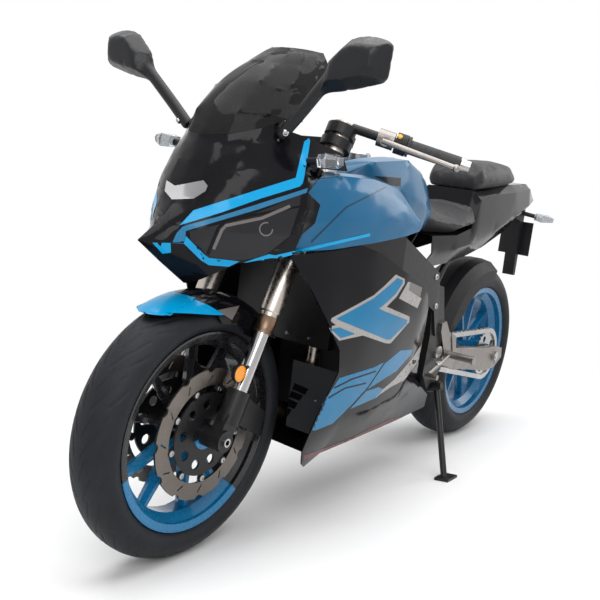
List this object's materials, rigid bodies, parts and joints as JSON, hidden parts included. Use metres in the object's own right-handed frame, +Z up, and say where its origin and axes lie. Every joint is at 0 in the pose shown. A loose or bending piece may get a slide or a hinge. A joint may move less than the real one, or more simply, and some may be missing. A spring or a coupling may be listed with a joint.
{
  "type": "sport motorcycle",
  "caption": "Fully faired two-seat sport motorcycle leaning on its side stand, with turning forks, spinning cast wheels and a folding stand.",
  "frame": {"origin": "middle of the bounding box's footprint, on the ground", "axes": "+X forward, +Y to the rider's left, +Z up; the motorcycle leans 8.5 degrees to its left about X"},
  "size_m": [2.13, 0.7996, 1.2043],
  "materials": {
    "tyre": "matt rubber with a faint sheen",
    "blue_wheel": "gloss bright blue",
    "rotor_steel": "ground steel, darkened",
    "bright_steel": "satin",
    "chromed_steel": "polished",
    "black_alloy": "satin black",
    "frame_black": "satin black",
    "bronze_alloy": "anodised bronze, satin",
    "silver_alloy": "satin",
    "engine_alloy": "painted dark, matt",
    "pipe_steel": "heat-tinted",
    "spring_steel": "satin",
    "grip_rubber": "matt",
    "matte_black": "fine grain, matt",
    "mirror_shell": "satin",
    "grey_plastic": "matt",
    "black_gloss": "high gloss",
    "blue_plastic": "high gloss",
    "blue_paint": "high gloss",
    "smoked_screen": "dark smoke, glossy",
    "lamp_clear": "clear, glossy",
    "lamp_red": "red, glossy",
    "seat_cover": "fine grain, matt"
  },
  "bodies": {
    "chassis": {"drive_chain": "bright_steel", "windscreen": "smoked_screen", "nose_cowl": "black_gloss", "headlamps": "lamp_clear", "shoulder_panels": "blue_plastic", "side_fairings": "black_gloss", "belly_pan": "black_gloss", "fuel_tank": "blue_paint", "filler_cap": "bright_steel", "rider_seat": "seat_cover", "pillion_seat": "seat_cover", "tail_cowl": "black_gloss", "tail_lamp": "lamp_red", "mirrors": "mirror_shell", "mirror_feet": "matte_black", "main_frame": "frame_black", "engine": "engine_alloy", "exhaust": "pipe_steel", "radiator": "black_alloy", "inner_vents": "grey_plastic", "dash": "matte_black", "fairing_stay": "frame_black", "plate_hanger": "matte_black", "signal_stalks": "matte_black", "signal_lenses": "lamp_clear", "subframe": "frame_black", "footrests": "silver_alloy", "swingarm": "silver_alloy", "rear_axle": "bright_steel", "pivot_spindle": "bright_steel", "rear_caliper": "black_alloy", "rear_hugger": "matte_black", "rear_shock": "spring_steel"},
    "front_wheel": {"front_tyre": "tyre", "front_rim": "blue_wheel", "front_disc_rotors": "rotor_steel", "front_disc_carriers": "black_alloy"},
    "rear_wheel": {"rear_tyre": "tyre", "rear_rim": "blue_wheel", "rear_disc": "rotor_steel", "rear_sprocket": "bright_steel"},
    "steering": {"fork_outer_tubes": "bronze_alloy", "fork_inner_tubes": "chromed_steel", "fork_feet": "black_alloy", "front_axle": "bright_steel", "triple_clamps": "black_alloy", "handlebars": "black_alloy", "grips": "grip_rubber", "bar_weights": "bright_steel", "hand_levers": "silver_alloy", "switch_pods": "matte_black", "front_mudguard": "blue_plastic", "front_calipers": "black_alloy"},
    "side_stand": {"side_stand": "frame_black"}
  },
  "joints": [
    {"name": "steering_turn", "type": "hinge", "parent": "chassis", "child": "steering", "pos_m": [0.52821, -0.04737, 0.7215], "axis": [-0.4147, 0.1345, 0.9], "range_deg": [-27, 27]},
    {"name": "front_wheel_spin", "type": "hinge", "parent": "steering", "child": "front_wheel", "pos_m": [0.76497, -0.11063, 0.29823], "axis": [0, 0.989, -0.1478], "continuous": true},
    {"name": "rear_wheel_spin", "type": "hinge", "parent": "chassis", "child": "rear_wheel", "pos_m": [-0.63503, -0.10886, 0.3101], "axis": [0, 0.989, -0.1478], "continuous": true},
    {"name": "side_stand_fold", "type": "hinge", "parent": "chassis", "child": "side_stand", "pos_m": [-0.15703, 0.03719, 0.25895], "axis": [0, 0.9917, 0.1288], "range_deg": [0, 95]}
  ]
}
